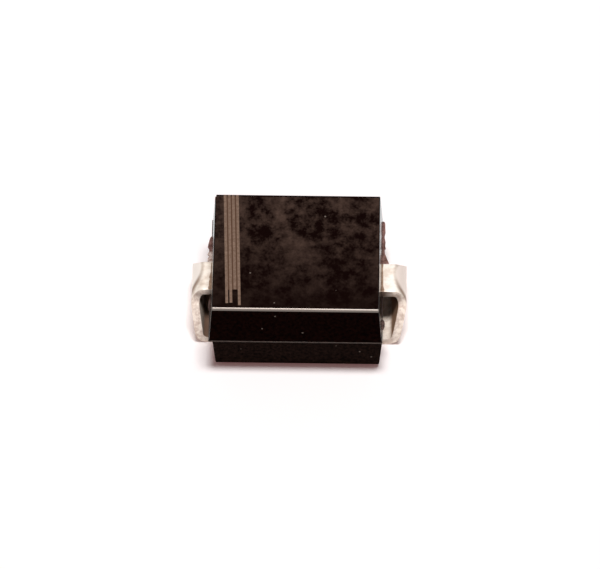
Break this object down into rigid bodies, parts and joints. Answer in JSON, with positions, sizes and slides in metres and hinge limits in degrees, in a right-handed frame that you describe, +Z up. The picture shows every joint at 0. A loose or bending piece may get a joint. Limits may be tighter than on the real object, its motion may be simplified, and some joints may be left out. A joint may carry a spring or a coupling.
{
  "type": "surface-mount tvs diode",
  "caption": "Black moulded surface-mount suppressor diode with bent tinned leads folded under its ends and a lined band on top at the cathode end.",
  "frame": {"origin": "on the board plane under the feet, midway between the outer faces of the two leads", "axes": "+X along the part from the cathode (banded end) to the anode, +Z up from the board through the top face"},
  "size_m": [0.0054, 0.0038, 0.0023],
  "materials": {
    "black_resin": "moulded epoxy, fine matt top face and satin sides",
    "tinned_copper": "matt tin plate on bent copper strip",
    "silicon": "sawn and metallised wafer",
    "solder": "reflowed solder"
  },
  "bodies": {
    "root": {"moulded_body": "black_resin", "cathode_lead": "tinned_copper", "anode_lead": "tinned_copper", "silicon_chip": "silicon", "cathode_solder": "solder", "anode_solder": "solder"}
  },
  "joints": []
}
